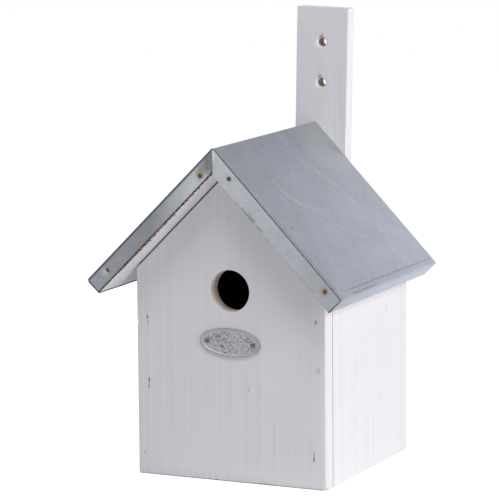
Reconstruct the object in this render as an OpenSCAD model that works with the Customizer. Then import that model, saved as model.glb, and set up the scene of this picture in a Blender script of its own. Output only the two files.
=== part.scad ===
// Wooden nest box with a folded metal roof and a hanging batten.
// Millimetres. X runs to the right, the front faces -Y, and Z is up.
// The origin is the middle of the walls' footprint, on the ground.

/* [Walls] */
// Width of the front and back walls
wall_w = 158; // [130:1:200]
// Height of the walls at the eaves
eave_h = 159.5; // [140:0.5:220]
// Thickness of the front wall
front_t = 13; // [9:0.5:18]
// Thickness of the back wall
back_t = 13; // [9:0.5:18]
// Thickness of each side wall
side_t = 13; // [9:0.5:18]
// Depth of the side walls, from front wall to back wall
side_d = 134; // [110:1:180]

/* [Entrance] */
// Diameter of the entrance hole
entrance_d = 32; // [26:1:45]
// Height of the entrance hole's centre
entrance_z = 147.5; // [125:0.5:160]

/* [Floor] */
// Thickness of the floor
floor_t = 12; // [8:0.5:18]
// Gap left round the floor
floor_gap = 0.3; // [0.1:0.1:1]
// Diameter of each drain hole
drain_d = 6; // [4:0.5:10]
// Distance of the drain holes from the floor's edges
drain_inset = 26; // [15:1:40]

/* [Roof] */
// Slope of the roof, in degrees
roof_slope = 45.5; // [42:0.5:50]
// Turn of the whole roof to the right about its ridge, in degrees
roof_turn = 0.7; // [0:0.1:1.5]
// Length of each slope, from the ridge to the outside of the eave
slope_l = 150.5; // [125:0.5:180]
// Overhang of the roof in front of the front wall
front_overhang = 28; // [20:0.5:45]
// Thickness of the roof boards
roof_board_t = 13; // [9:0.5:18]
// Gap between the walls and the roof boards
roof_seat = 0.3; // [0.2:0.1:0.8]
// Wider gap left above the front wall
front_gap = 1.2; // [0.8:0.1:2]
// Thickness of the roof sheet
sheet_t = 0.7; // [0.5:0.1:1.2]
// Gap between the sheet and the boards
sheet_fit = 0.2; // [0.1:0.1:0.5]
// Depth of the flanges folded down at the front and the eaves
flange_h = 13.6; // [12.5:0.1:18]
// Outer bend radius at the ridge
ridge_r = 2.5; // [2:0.5:5]
// Outer bend radius at the eaves
eave_r = 3.5; // [2:0.5:5]
// Width of the open seams where two flanges meet
seam_w = 0.5; // [0.2:0.1:1]
// Corner cut from the left front flange at the foot of the seam
seam_cut = 2.5; // [1.5:0.5:5]

/* [Roof nails] */
// Diameter of a nail head
nail_head_d = 4.2; // [3.5:0.1:6]
// Thickness of a nail head
nail_head_t = 0.9; // [0.6:0.1:1.5]
// Diameter of a nail shank
nail_d = 1.8; // [1.4:0.1:2.4]
// Length of a nail under its head
nail_l = 22; // [15:1:26]
// Gap round every nail, pin and screw
nail_fit = 0.1; // [0.05:0.05:0.2]
// Left upper nail, distance from the ridge
left_upper_nail_u = 22.5; // [18:0.5:40]
// Left upper nail, depth below the fold
left_upper_nail_n = 8.5; // [4:0.5:9]
// Left lower nail, distance from the eave
left_lower_nail_u = 17.5; // [10:0.5:40]
// Left lower nail, depth below the fold
left_lower_nail_n = 4; // [3.5:0.5:9]
// Right upper nail, distance from the ridge
right_upper_nail_u = 26; // [18:0.5:40]
// Right upper nail, depth below the fold
right_upper_nail_n = 6; // [4:0.5:9]
// Right lower nail, distance from the eave
right_lower_nail_u = 13.5; // [10:0.5:40]
// Right lower nail, depth below the fold
right_lower_nail_n = 5.5; // [4:0.5:9]

/* [Hanging batten] */
// Width of the batten
batten_w = 43.5; // [36:0.5:60]
// Thickness of the batten
batten_t = 12.5; // [9:0.5:18]
// Length of the batten
batten_l = 339.5; // [300:0.5:400]
// Height of the batten's foot above the ground
batten_lift = 10.5; // [4:0.5:20]
// Sideways place of the batten's foot
batten_x = -1; // [-8:0.5:8]
// Lean of the batten to the right, in degrees
batten_lean = 1.4; // [0:0.1:3]
// Diameter of the two hanging holes
hang_d = 7.5; // [6:0.5:12]
// Distance of the upper hanging hole from the batten's top
hang_top = 27.5; // [18:0.5:40]
// Distance between the hanging holes
hang_pitch = 32; // [24:0.5:45]

/* [Batten screws] */
// Diameter of a screw head
screw_head_d = 7.5; // [6:0.5:10]
// Diameter of a screw shank
screw_d = 3.6; // [3:0.1:4.5]
// Length of a screw
screw_l = 22; // [18:1:24]
// Height of the lower screw above the batten's foot
screw_low = 45; // [30:1:60]
// Distance between the screws
screw_pitch = 110; // [80:1:140]

/* [Plaque] */
// Width of the oval plaque
plaque_w = 50.5; // [44:0.5:60]
// Height of the oval plaque
plaque_h = 22; // [18:0.5:28]
// Thickness of the plaque's field
plaque_t = 1.8; // [1.2:0.1:3]
// Height of the raised rim above the field
rim_h = 0.8; // [0.4:0.1:1.5]
// Width of the raised rim
rim_w = 2; // [1.5:0.1:3]
// Height of the plaque's centre
plaque_z = 108; // [90:0.5:112]
// Sideways place of the plaque's centre
plaque_x = 0.5; // [-10:0.5:10]
// Turn of the plaque to the right, in degrees
plaque_turn = 2; // [0:0.5:5]
// Distance between the two pins
pin_pitch = 38; // [28:0.5:40]
// Diameter of a pin head
pin_head_d = 3.4; // [2.6:0.1:4.4]
// Height of a pin head
pin_head_h = 0.9; // [0.5:0.1:1.2]
// Diameter of a pin shank
pin_d = 1.6; // [1.2:0.1:2]
// Length of a pin under its head
pin_l = 9; // [6:0.5:10]

/* [Hidden] */

// Colours of the finishes
wood_paint = "gainsboro";
bare_wood = "tan";
zinc = "lightslategray";
rusty = "sienna";
cast_metal = "darkgray";
bright_steel = "silver";

// Fineness of curves, and how far a cut runs past a face
$fn = 64;
oval_points = 72;
cut = 2;

// Places that follow from the sizes
slope_run = tan(roof_slope);
inner_w = wall_w - 2 * side_t;
front_y = -(front_t + side_d + back_t) / 2;
wall_in = front_y + front_t;
back_y = wall_in + side_d;
rear_y = back_y + back_t;
gable_h = eave_h + wall_w / 2 * slope_run;
cover_t = sheet_t + sheet_fit;
roof_t = cover_t + roof_board_t + roof_seat;
ridge_z = gable_h + roof_t / cos(roof_slope);
front_drop = (front_gap - roof_seat) / cos(roof_slope);
roof_front = front_y - front_overhang;
reach = 2 * slope_l;
board_front = roof_front + cover_t;
batten_rear = rear_y + batten_t;
screw_cone = (screw_head_d - screw_d) / 2;
upper_hang = batten_l - hang_top;
lower_hang = upper_hang - hang_pitch;

// Shapes drawn as seen from the front stand up and run back from one y to another
module standing(from_y, to_y) {
    translate([0, to_y, 0])
        rotate([90, 0, 0])
            linear_extrude(to_y - from_y)
                children();
}

// Lengths along one roof slope: u runs down the slope, n stands up from it
module on_slope_2d(side) {
    mirror([side < 0 ? 1 : 0, 0])
        translate([0, ridge_z])
            rotate(-roof_slope)
                children();
}

// Everything below the roof's surface at a depth, with the ridge rounded
module under_roof(depth, r) {
    top = ridge_z - depth / cos(roof_slope);
    centre = top - r / cos(roof_slope);
    touch_x = r * sin(roof_slope);
    touch_z = centre + r * cos(roof_slope);
    low = top - reach * slope_run;
    polygon([
        [-touch_x, touch_z], [touch_x, touch_z],
        [reach, low], [reach, low - reach], [-reach, low - reach], [-reach, low]
    ]);
    if (r > 0)
        translate([0, centre])
            circle(r);
}

// A fastener hole or shank that points back along y
module peg(place, d, from_y, to_y) {
    translate([place[0], to_y, place[1]])
        rotate([90, 0, 0])
            cylinder(d = d, h = to_y - from_y);
}

// Slope of one side of the turned roof, and the height of the wall under its eave
function side_slope(side) = roof_slope + side * roof_turn;
function side_h(side) = gable_h - wall_w / 2 * tan(side_slope(side));

// Turns what the roof is made of about the ridge
module turned() {
    translate([0, 0, ridge_z])
        rotate([0, roof_turn, 0])
            translate([0, 0, -ridge_z])
                children();
}

// Outline of the front and back walls, with their tops lowered by a drop
module gable(drop) {
    polygon([
        [-wall_w / 2, 0], [wall_w / 2, 0], [wall_w / 2, side_h(1) - drop],
        [0, gable_h - drop], [-wall_w / 2, side_h(-1) - drop]
    ]);
}

module front_wall() {
    color(wood_paint)
        difference() {
            standing(front_y, wall_in)
                gable(front_drop);
            peg([0, entrance_z], entrance_d, front_y - cut, wall_in + cut);
            for (side = [-1, 1])
                peg(pin_place(side), pin_d + 2 * nail_fit, front_y - cut, pin_end + nail_fit);
        }
}

module back_wall() {
    color(wood_paint)
        difference() {
            standing(back_y, rear_y)
                gable(0);
            for (along = screw_places)
                on_batten(along)
                    screw_hole();
        }
}

// Side walls stand between the front and back walls, bevelled under the roof
module side_wall(side) {
    color(wood_paint)
        standing(wall_in, back_y)
            mirror([side < 0 ? 1 : 0, 0])
                polygon([
                    [inner_w / 2, 0], [wall_w / 2, 0],
                    [wall_w / 2, side_h(side)], [inner_w / 2, side_h(side) + side_t * tan(side_slope(side))]
                ]);
}

module floor_panel() {
    floor_w = inner_w - 2 * floor_gap;
    floor_d = side_d - 2 * floor_gap;
    color(bare_wood)
        translate([0, wall_in + side_d / 2, 0])
            difference() {
                translate([-floor_w / 2, -floor_d / 2, 0])
                    cube([floor_w, floor_d, floor_t]);
                for (x = [-1, 1], y = [-1, 1])
                    translate([x * (floor_w / 2 - drain_inset), y * (floor_d / 2 - drain_inset), -cut])
                        cylinder(d = drain_d, h = floor_t + 2 * cut);
            }
}

// A band along one slope between two depths, with its eave corner rounded
module slope_band(side, top, low, edge, r) {
    on_slope_2d(side) {
        translate([-reach, -low])
            square([reach + edge - r, low - top]);
        translate([-reach, -low])
            square([reach + edge, low - top - r]);
        translate([edge - r, -top - r])
            circle(r);
    }
}

// Roof boards: the right one runs over the upper end of the left one
board_low = cover_t + roof_board_t;

module board_outline(side) {
    intersection() {
        slope_band(side, cover_t, board_low, slope_l - cover_t, eave_r - cover_t);
        under_roof(cover_t, ridge_r - cover_t);
    }
}

module right_roof_board() {
    color(bare_wood)
        turned()
            difference() {
                standing(board_front, rear_y)
                    board_outline(1);
                nail_holes(1);
            }
}

module left_roof_board() {
    color(bare_wood)
        turned()
            difference() {
                standing(board_front, rear_y)
                    difference() {
                        board_outline(-1);
                        on_slope_2d(1)
                            translate([-reach, -board_low - sheet_fit])
                                square([2 * reach, 2 * reach]);
                    }
                nail_holes(-1);
            }
}

// The roof sheet: one folded piece with flanges at the eaves and along the front
module sheet_cover(depth, low) {
    intersection() {
        for (side = [-1, 1])
            slope_band(side, depth, low, slope_l - depth, eave_r - depth);
        under_roof(depth, ridge_r - depth);
    }
}

// Front flange of one side, cut off at the seam under the ridge; corner is what its foot loses
module flange_outline(corner) {
    seam_low = ridge_z - flange_h / cos(roof_slope);
    corner_x = seam_w / 2 + 2 * corner * cos(roof_slope);
    intersection() {
        sheet_cover(0, flange_h);
        polygon([
            [seam_w / 2, ridge_z], [reach, ridge_z], [reach, ridge_z - reach],
            [corner_x, ridge_z - reach],
            [corner_x, seam_low - corner - 2 * corner * sin(roof_slope)], [seam_w / 2, seam_low + corner]
        ]);
    }
}

module roof_sheet() {
    color(zinc)
        turned()
            difference() {
                union() {
                    standing(roof_front, rear_y)
                        difference() {
                            sheet_cover(0, flange_h);
                            sheet_cover(sheet_t, flange_h + cut);
                        }
                    standing(roof_front, roof_front + sheet_t)
                        flange_outline(0);
                    standing(roof_front, roof_front + sheet_t)
                        mirror([1, 0])
                            flange_outline(seam_cut);
                }
                for (side = [-1, 1])
                    nail_holes(side);
            }
}

// Roof nails, each given as a distance down the slope and a depth below the fold
left_nails = [
    [left_upper_nail_u, left_upper_nail_n],
    [slope_l - left_lower_nail_u, left_lower_nail_n]
];
right_nails = [
    [right_upper_nail_u, right_upper_nail_n],
    [slope_l - right_lower_nail_u, right_lower_nail_n]
];

function slope_place(side, un) = [
    side * (un[0] * cos(roof_slope) - un[1] * sin(roof_slope)),
    ridge_z - un[0] * sin(roof_slope) - un[1] * cos(roof_slope)
];

module nail_holes(side) {
    for (un = side < 0 ? left_nails : right_nails)
        peg(slope_place(side, un), nail_d + 2 * nail_fit, roof_front - cut, roof_front + nail_l + nail_fit);
}

module roof_nail(side, un) {
    place = slope_place(side, un);
    color(rusty)
        turned() {
            peg(place, nail_head_d, roof_front - nail_head_t, roof_front);
            peg(place, nail_d, roof_front - nail_head_t / 2, roof_front + nail_l);
        }
}

// Hanging batten on the back wall, leaning a little to the right
screw_places = [screw_low, screw_low + screw_pitch];

module on_batten(along) {
    translate([batten_x, batten_rear, batten_lift])
        rotate([0, batten_lean, 0])
            translate([0, 0, along])
                children();
}

module hanging_batten() {
    color(wood_paint)
        difference() {
            on_batten(0)
                translate([-batten_w / 2, -batten_t, 0])
                    cube([batten_w, batten_t, batten_l]);
            for (along = [upper_hang, lower_hang])
                on_batten(along)
                    rotate([90, 0, 0])
                        translate([0, 0, -cut])
                            cylinder(d = hang_d, h = batten_t + 2 * cut);
            for (along = screw_places)
                on_batten(along)
                    screw_hole();
        }
}

// Countersunk screws driven from behind, heads flush with the batten
module screw_form(grow, tip) {
    rotate([90, 0, 0]) {
        cylinder(d1 = screw_head_d + 2 * grow, d2 = screw_d + 2 * grow, h = screw_cone);
        cylinder(d = screw_d + 2 * grow, h = screw_l + tip);
    }
}

module screw_hole() {
    screw_form(nail_fit, nail_fit);
}

module batten_screw(along) {
    color(bright_steel)
        on_batten(along)
            screw_form(0, 0);
}

// Oval plaque with a raised rim, pinned to the front wall
plaque_front = front_y - plaque_t;
pin_end = plaque_front + pin_l;

function pin_place(side) = [
    plaque_x + side * pin_pitch / 2 * cos(plaque_turn),
    plaque_z - side * pin_pitch / 2 * sin(plaque_turn)
];

// An oval where the plaque is
module oval(w, h) {
    translate([plaque_x, plaque_z])
        rotate(-plaque_turn)
            polygon([for (i = [0 : oval_points - 1])
                [w / 2 * cos(360 * i / oval_points), h / 2 * sin(360 * i / oval_points)]]);
}

module plaque() {
    color(cast_metal)
        difference() {
            standing(plaque_front - rim_h, front_y)
                oval(plaque_w, plaque_h);
            standing(plaque_front - rim_h - cut, plaque_front)
                oval(plaque_w - 2 * rim_w, plaque_h - 2 * rim_w);
            for (side = [-1, 1])
                peg(pin_place(side), pin_d + 2 * nail_fit, plaque_front - cut, front_y + cut);
        }
}

module plaque_pin(side) {
    color(bright_steel) {
        peg(pin_place(side), pin_head_d, plaque_front - pin_head_h, plaque_front);
        peg(pin_place(side), pin_d, plaque_front - pin_head_h / 2, pin_end);
    }
}

front_wall();
back_wall();
side_wall(-1);  // left_wall
side_wall(1);  // right_wall
floor_panel();
left_roof_board();
right_roof_board();
roof_sheet();
roof_nail(-1, left_nails[0]);  // roof_nail_left_upper
roof_nail(-1, left_nails[1]);  // roof_nail_left_lower
roof_nail(1, right_nails[0]);  // roof_nail_right_upper
roof_nail(1, right_nails[1]);  // roof_nail_right_lower
hanging_batten();
batten_screw(screw_places[1]);  // batten_screw_upper
batten_screw(screw_places[0]);  // batten_screw_lower
plaque();
plaque_pin(-1);  // plaque_pin_left
plaque_pin(1);  // plaque_pin_right
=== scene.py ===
import math

import bpy
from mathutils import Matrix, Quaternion, Vector


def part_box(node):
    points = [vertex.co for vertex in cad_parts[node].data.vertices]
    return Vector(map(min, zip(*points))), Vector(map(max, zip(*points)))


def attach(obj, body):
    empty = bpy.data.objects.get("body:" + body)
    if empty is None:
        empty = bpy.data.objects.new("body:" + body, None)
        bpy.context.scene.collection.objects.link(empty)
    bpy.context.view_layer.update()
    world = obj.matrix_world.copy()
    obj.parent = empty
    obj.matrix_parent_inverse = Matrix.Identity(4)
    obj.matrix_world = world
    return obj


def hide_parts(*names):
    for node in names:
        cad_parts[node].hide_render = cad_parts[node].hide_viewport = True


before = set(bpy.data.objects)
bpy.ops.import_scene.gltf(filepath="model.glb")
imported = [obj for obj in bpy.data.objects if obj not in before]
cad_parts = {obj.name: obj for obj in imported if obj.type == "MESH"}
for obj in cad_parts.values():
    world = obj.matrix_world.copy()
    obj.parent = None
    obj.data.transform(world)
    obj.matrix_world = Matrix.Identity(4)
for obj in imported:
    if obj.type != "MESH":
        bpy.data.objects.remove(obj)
bpy.ops.object.select_all(action="DESELECT")  # the load leaves the CAD nodes selected
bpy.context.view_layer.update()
mm = 0.001
tiny = 0.01 * mm  # slack when points are picked by their place
near = 0.1 * mm  # slack when faces are picked by their place
facing = 0.9  # a face looks along an axis when its normal has this much of it
overrun = 5 * mm  # how far a block is built past the plane that trims it
cutterLength = 40 * mm
print("frame loaded:", len(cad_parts), "nodes")

# shared sizes, in metres, taken from the frame where it holds them
wallLow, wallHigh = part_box("front_wall")
backLow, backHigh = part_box("back_wall")
sheetLow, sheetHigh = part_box("roof_sheet")
battenLow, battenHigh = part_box("hanging_batten")
plaqueLow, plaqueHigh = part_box("plaque")
roofFront = sheetLow[1]
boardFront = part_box("left_roof_board")[0][1]

entrance = {"radius": 16 * mm, "height": 147.5 * mm, "sides": 96}
roof = {
    "slope": math.radians(45.5),
    "turn": math.radians(0.7),  # the whole roof sits a little turned
    "slopeLength": 150.5 * mm,
    "flange": {1: 14.4 * mm, -1: 12.9 * mm},  # right and left
    "eaveFlange": 14.3 * mm,
    "sheet": 0.7 * mm,
    "fit": 0.2 * mm,
    "board": 13 * mm,
    "ridgeRadius": 2.5 * mm,
    "boardRadius": 3.5 * mm,  # the boards' rounded eaves, measured at the sheet
    "eaveFold": 1.0 * mm,
    "foldRadius": 1.1 * mm,
    "foldLine": 1.43 * mm,  # a line of points behind the fold keeps its shading off the slope
    "seam": 0.5 * mm,
    "seamCut": 3.2 * mm,
}
ridgeZ = sheetHigh[2] + roof["ridgeRadius"] * (1 / math.cos(roof["slope"]) - 1)
coverDepth = roof["sheet"] + roof["fit"]


def sideSlope(side):
    return roof["slope"] + side * roof["turn"]


def slopeNormal(side):
    return (side * math.sin(sideSlope(side)), 0, math.cos(sideSlope(side)))


def onRightSlope(along, depth, y):
    # a place in millimetres, by its distances from the ridge and below the slope
    angle = sideSlope(1)
    x = along * math.cos(angle) - depth * math.sin(angle)
    return Vector((x, y, ridgeZ / mm - along * math.sin(angle) - depth * math.cos(angle)))


def middleOf(node, y):
    low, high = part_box(node)
    return Vector(((low[0] + high[0]) / 2, y, (low[2] + high[2]) / 2))


def pieceName(node):
    first, *others = node.split("_")
    return first + "".join(word.title() for word in others)


# modelling helpers
def makeActive(obj):
    bpy.ops.object.select_all(action="DESELECT")
    obj.select_set(True)
    bpy.context.view_layer.objects.active = obj


def settle(obj):
    makeActive(obj)
    bpy.ops.object.transform_apply(location=True, rotation=True, scale=True)


def turnAndMove(obj, turn, spot=(0, 0, 0)):
    obj.rotation_euler = (0, turn, 0)
    obj.location = spot
    settle(obj)


def nameActive(name):
    obj = bpy.context.object
    obj.name = name
    return obj


def discard(obj):
    bpy.data.objects.remove(obj, do_unlink=True)


def addBlock(name, low, high):
    low, high = Vector(low), Vector(high)
    bpy.ops.mesh.primitive_cube_add(size=1, location=(low + high) / 2)
    obj = nameActive(name)
    obj.scale = high - low
    settle(obj)
    return obj


def addDrum(name, centre, radius, depth, sides):
    # a round block that lies from front to rear
    bpy.ops.mesh.primitive_cylinder_add(
        vertices=sides, radius=radius, depth=depth, location=centre, rotation=(math.pi / 2, 0, 0),
    )
    obj = nameActive(name)
    settle(obj)
    return obj


def anyFace(face):
    return True


def editSelection(obj, kind, test):
    # selects the faces or points that pass the test, or edges with both ends passing, and stays in edit mode
    makeActive(obj)
    bpy.ops.object.mode_set(mode="EDIT")
    bpy.ops.mesh.select_mode(type=kind)
    bpy.ops.mesh.select_all(action="DESELECT")
    bpy.ops.object.mode_set(mode="OBJECT")
    mesh = obj.data
    if kind == "FACE":
        for face in mesh.polygons:
            face.select = test(face)
    elif kind == "EDGE":
        for edge in mesh.edges:
            ends = [mesh.vertices[i].co for i in edge.vertices]
            edge.select = test(ends[0]) and test(ends[1])
    else:
        for point in mesh.vertices:
            point.select = test(point.co)
    bpy.ops.object.mode_set(mode="EDIT")


def leaveEdit():
    bpy.ops.object.mode_set(mode="OBJECT")


def mirror(obj, mendNormals):
    # turns the piece over to the other side, and the operator given makes its faces look out again
    obj.scale = (-1, 1, 1)
    settle(obj)
    editSelection(obj, "FACE", anyFace)
    mendNormals()
    leaveEdit()


def bevelWhere(obj, kind, test, width, segments):
    editSelection(obj, kind, test)
    bpy.ops.mesh.bevel(offset=width, segments=segments, affect="VERTICES" if kind == "VERT" else "EDGES")
    leaveEdit()


def extrudeBy(shift):
    bpy.ops.mesh.extrude_region_move(TRANSFORM_OT_translate={"value": shift})


def trim(obj, point, normal, test=anyFace, closed=True):
    editSelection(obj, "FACE", test)
    bpy.ops.mesh.bisect(plane_co=point, plane_no=normal, use_fill=closed, clear_outer=True)
    leaveEdit()


def applyModifier(obj, kind, **values):
    makeActive(obj)
    modifier = obj.modifiers.new(kind.title(), kind)
    for key, value in values.items():
        setattr(modifier, key, value)
    bpy.ops.object.modifier_apply(modifier=modifier.name)


def cutWith(obj, cutter):
    applyModifier(obj, "BOOLEAN", operation="DIFFERENCE", solver="EXACT", object=cutter)
    discard(cutter)


def smoothBelow(obj, angle):
    makeActive(obj)
    bpy.ops.object.shade_smooth_by_angle(angle=math.radians(angle))


def soften(obj, width, segments=2, angle=35, smooth=15):
    applyModifier(
        obj, "BEVEL", width=width, segments=segments, limit_method="ANGLE",
        angle_limit=math.radians(angle), harden_normals=False, use_clamp_overlap=True,
    )
    smoothBelow(obj, smooth)


def copyPiece(obj, name, spot=(0, 0, 0)):
    made = obj.copy()
    made.data = obj.data.copy()
    made.name = name
    bpy.context.collection.objects.link(made)
    turnAndMove(made, 0, spot)
    return made


def finishPiece(obj, nodes, materials, pick=None):
    obj.data.materials.clear()
    for material in materials:
        obj.data.materials.append(material)
    for face in obj.data.polygons:
        face.material_index = pick(face) if pick else 0
    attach(obj, "root")
    if nodes:
        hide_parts(*nodes)


# shader helpers
def isSocket(value):
    return isinstance(value, bpy.types.NodeSocket)


def treeOf(values):
    # the node tree of the first socket among the values
    return next(value.id_data for value in values if isSocket(value))


def feed(value, socket):
    # the value is another node's output, a number, a place or a colour
    if isSocket(value):
        socket.id_data.links.new(value, socket)
    else:
        socket.default_value = value


def feedAll(node, *values):
    for value, socket in zip(values, node.inputs):
        feed(value, socket)


def fill(node, **values):
    # each value goes to the input of that name, or else to the node's own setting
    for key, value in values.items():
        inputName = key.replace("_", " ")
        if inputName in node.inputs:
            feed(value, node.inputs[inputName])
        else:
            setattr(node, key, value)


def newNode(kind, tree=None, **values):
    node = (tree or treeOf(values.values())).nodes.new(kind)
    fill(node, **values)
    return node


def mathNode(operation, first, second, clamp=False):
    node = newNode("ShaderNodeMath", treeOf((first, second)), operation=operation, use_clamp=clamp)
    feedAll(node, first, second)
    return node.outputs[0]


def times(first, second):
    return mathNode("MULTIPLY", first, second)


def larger(first, second):
    return mathNode("MAXIMUM", first, second)


def vectorNode(operation, *values):
    node = newNode("ShaderNodeVectorMath", treeOf(values), operation=operation)
    feedAll(node, *values)
    return node.outputs["Value" if operation in ("DOT_PRODUCT", "LENGTH") else "Vector"]


def axesOf(place):
    return newNode("ShaderNodeSeparateXYZ", Vector=place).outputs


def noiseNode(place, size, **values):
    return newNode("ShaderNodeTexNoise", Vector=place, Scale=size, **values).outputs["Fac"]


def rampNode(value, stops):
    node = newNode("ShaderNodeValToRGB", Fac=value)
    ramp = node.color_ramp
    while len(ramp.elements) < len(stops):
        ramp.elements.new(0.5)
    for element, (place, colour) in zip(ramp.elements, stops):
        element.position = place
        element.color = (*colour, 1)
    return node.outputs["Color"]


def spanNode(value, low, high, outLow=0.0, outHigh=1.0):
    return newNode(
        "ShaderNodeMapRange", Value=value, From_Min=low, From_Max=high, To_Min=outLow, To_Max=outHigh,
    ).outputs["Result"]


def mixNode(factor, first, second, blend="MIX"):
    first, second = [(*colour, 1) if isinstance(colour, tuple) else colour for colour in (first, second)]
    return newNode(
        "ShaderNodeMix", data_type="RGBA", blend_type=blend, Factor=factor, A=first, B=second,
    ).outputs["Result"]


def tinted(colour, shade):
    return mixNode(1.0, colour, shade, "MULTIPLY")


def stain(colour, mask, depth, tone):
    return mixNode(times(mask, depth), colour, tone)


def newGroup(name, build, **inputs):
    # inputs are places and numbers with their first values, and build gives the outputs, all numbers
    tree = bpy.data.node_groups.new(name, "ShaderNodeTree")
    for socketName, value in inputs.items():
        kind = "NodeSocketFloat" if isinstance(value, float) else "NodeSocketVector"
        tree.interface.new_socket(socketName, in_out="INPUT", socket_type=kind).default_value = value
    outputs = build(tree.nodes.new("NodeGroupInput").outputs)
    for socketName in outputs:
        tree.interface.new_socket(socketName, in_out="OUTPUT", socket_type="NodeSocketFloat")
    feedAll(tree.nodes.new("NodeGroupOutput"), *outputs.values())
    return tree


def useGroup(group, **values):
    return newNode("ShaderNodeGroup", node_tree=group, **values).outputs


def newMaterial(name, **values):
    material = bpy.data.materials.new(name)
    material.use_nodes = True
    nodes = material.node_tree.nodes
    shader = nodes["Principled BSDF"]
    fill(shader, **values)
    return material, shader, nodes.new("ShaderNodeTexCoord").outputs["Object"]


def bumped(height, strength, distance):
    return newNode("ShaderNodeBump", Height=height, Strength=strength, Distance=distance).outputs["Normal"]


# grain that runs along one axis: fine pores, broad bands and a height for bump
def buildGrain(given):
    stretched = vectorNode("MULTIPLY", given["Vector"], given["Stretch"])
    broad = noiseNode(stretched, 400.0, Detail=2.0, Roughness=0.5, Distortion=0.2)
    fine = noiseNode(stretched, 950.0, Detail=3.0, Roughness=0.6)
    return {"Bands": broad, "Pores": fine, "Height": mathNode("ADD", times(broad, 0.6), fine)}


# a soft round mark about a point, with a ragged edge
def buildRoundMark(given):
    away = vectorNode("SUBTRACT", given["Vector"], given["Centre"])
    length = vectorNode("LENGTH", vectorNode("MULTIPLY", away, given["Shape"]))
    rag = noiseNode(given["Vector"], 420.0, Detail=3.0)
    swing = times(mathNode("SUBTRACT", rag, 0.5), given["Ragged"])
    part = mathNode("ADD", mathNode("DIVIDE", length, given["Radius"]), swing)
    return {"Mark": mathNode("SUBTRACT", 1.0, part, clamp=True)}


# a thin straight mark from a start along a direction, fading at both ends
def buildLineMark(given):
    away = vectorNode("SUBTRACT", given["Vector"], given["Start"])
    run = vectorNode("DOT_PRODUCT", away, given["Along"])
    gap = vectorNode("LENGTH", vectorNode("CROSS_PRODUCT", away, given["Along"]))
    close = mathNode("SUBTRACT", 1.0, mathNode("DIVIDE", gap, given["Width"]), clamp=True)
    past = mathNode("DIVIDE", run, given["Length"])
    middle = times(past, mathNode("SUBTRACT", 1.0, past))
    within = mathNode("MULTIPLY", middle, 8.0, clamp=True)
    return {"Mark": times(close, within)}


# cloudy change over a surface, for dirt and dull patches
def buildMottle(given):
    cloud = noiseNode(given["Vector"], given["Size"], Detail=4.0, Roughness=0.55)
    return {"Cloud": cloud, "Speck": noiseNode(given["Vector"], 1300.0, Detail=2.0)}


origin = (0, 0, 0)
grainGroup = newGroup("pineGrain", buildGrain, Vector=origin, Stretch=(1, 1, 0.04))
markGroup = newGroup(
    "roundMark", buildRoundMark, Vector=origin, Centre=origin, Shape=(1, 1, 1), Radius=0.004, Ragged=0.4,
)
lineGroup = newGroup(
    "lineMark", buildLineMark, Vector=origin, Start=origin, Along=(0, 1, 0), Length=0.05, Width=0.001,
)
mottleGroup = newGroup("mottle", buildMottle, Vector=origin, Size=30.0)


def grainAt(place, stretch):
    return useGroup(grainGroup, Vector=place, Stretch=stretch)


def mottleAt(place, size):
    return useGroup(mottleGroup, Vector=place, Size=size)


def roundMark(place, centre, radius, ragged, shape=(1, 1, 1)):
    return useGroup(
        markGroup, Vector=place, Centre=centre, Shape=shape, Radius=radius, Ragged=ragged,
    )["Mark"]


def lineBetween(place, start, end, width):
    # both ends and the width are in millimetres
    start, end = Vector(start) * mm, Vector(end) * mm
    span = end - start
    return useGroup(
        lineGroup, Vector=place, Start=start, Along=span.normalized(),
        Length=span.length, Width=width * mm,
    )["Mark"]


# painted pine
alongZ = (1.0, 1.0, 0.007)
alongY = (1.0, 0.007, 1.0)
paintLook = {
    "paint": (0.80, 0.79, 0.83), "thin": (0.75, 0.735, 0.77), "battenThin": (0.71, 0.70, 0.73),
    "knot": (0.62, 0.57, 0.55), "bare": (0.22, 0.155, 0.115), "grey": (0.45, 0.45, 0.47),
    "pale": (0.93, 0.93, 0.94), "cream": (0.88, 0.82, 0.80),
    "scuffTop": 7 * mm, "scuffDepth": 0.7, "tickStretch": (1.0, 1.0, 0.12),
    # torn paint: how far it and the cream tone reach in, and the heights where it starts and ends
    "tearReach": 8 * mm, "creamReach": 16 * mm, "tearStretch": (0.45, 0.05, 0.45),
    "tearTop": (235 * mm, 205 * mm), "tearFoot": (150 * mm, 166 * mm),
    "grainHeight": 0.25 * mm,
}


def scuffFoot(place, colour):
    # the foot is scuffed in fine upright ticks
    ticks = grainAt(place, paintLook["tickStretch"])
    low = spanNode(axesOf(place)["Z"], paintLook["scuffTop"], 0)
    scuff = times(spanNode(ticks["Pores"], 0.5, 0.66), low)
    return stain(colour, scuff, paintLook["scuffDepth"], paintLook["knot"])


def tearFront(place, colour, front):
    # paint has broken away from the rough front edge, most of it half way down the slope
    spot = axesOf(place)
    tears = grainAt(place, paintLook["tearStretch"])
    reach = spanNode(spot["Y"], front, front + paintLook["tearReach"], 0.3, -0.1)
    high = spanNode(spot["Z"], *paintLook["tearTop"], -0.1, 0.05)
    low = spanNode(spot["Z"], *paintLook["tearFoot"], -0.2, 0.05)
    score = mathNode("ADD", tears["Pores"], reach)
    score = mathNode("ADD", score, mathNode("MINIMUM", high, low))
    cream = spanNode(spot["Y"], front + paintLook["creamReach"], front, 0.0, 0.8)
    colour = mixNode(cream, colour, paintLook["cream"])
    return mixNode(spanNode(score, 0.66, 0.76), colour, paintLook["bare"])


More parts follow.
